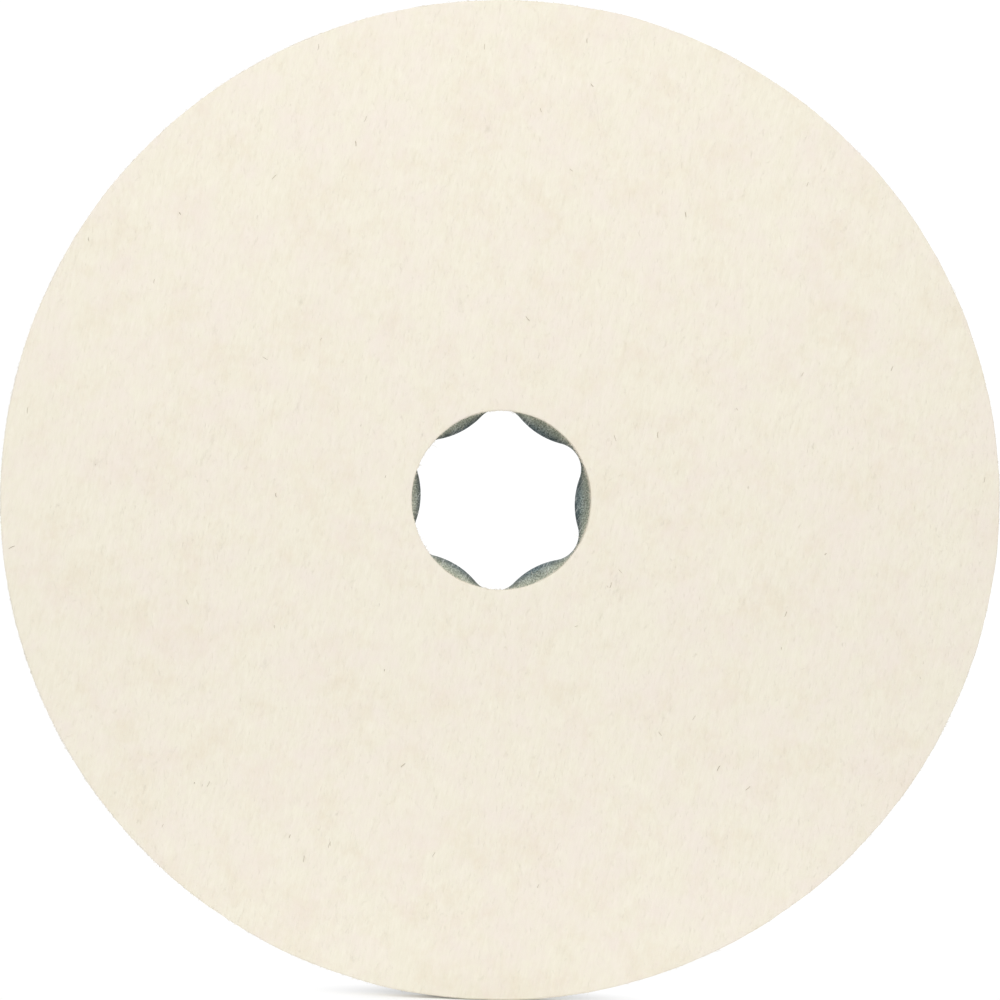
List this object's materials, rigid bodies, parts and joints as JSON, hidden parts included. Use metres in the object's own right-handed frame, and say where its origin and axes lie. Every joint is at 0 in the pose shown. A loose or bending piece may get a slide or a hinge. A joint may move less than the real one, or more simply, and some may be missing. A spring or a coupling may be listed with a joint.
{
  "type": "felt polishing disc",
  "caption": "Round wool-felt polishing disc on a stiff fibre backing, with a pressed steel hub whose lobed opening locks onto an angle polisher from behind.",
  "frame": {"origin": "on the spin axis, at the back face of the fibre disc, which the machine's backing pad bears on", "axes": "+Y along the spin axis from the felt towards the hub and the machine; the felt's working face looks to -Y; +Z passes through the middle of one of the opening's lobes"},
  "size_m": [0.125, 0.0108, 0.125],
  "materials": {
    "wool_felt": "matte",
    "adhesive": "satin",
    "vulcanised_fibre": "satin",
    "zinc_plated_steel": "satin"
  },
  "bodies": {
    "root": {"felt_disc": "wool_felt", "felt_bond": "adhesive", "backing_disc": "vulcanised_fibre", "hub_bond": "adhesive", "hub": "zinc_plated_steel"}
  },
  "joints": []
}
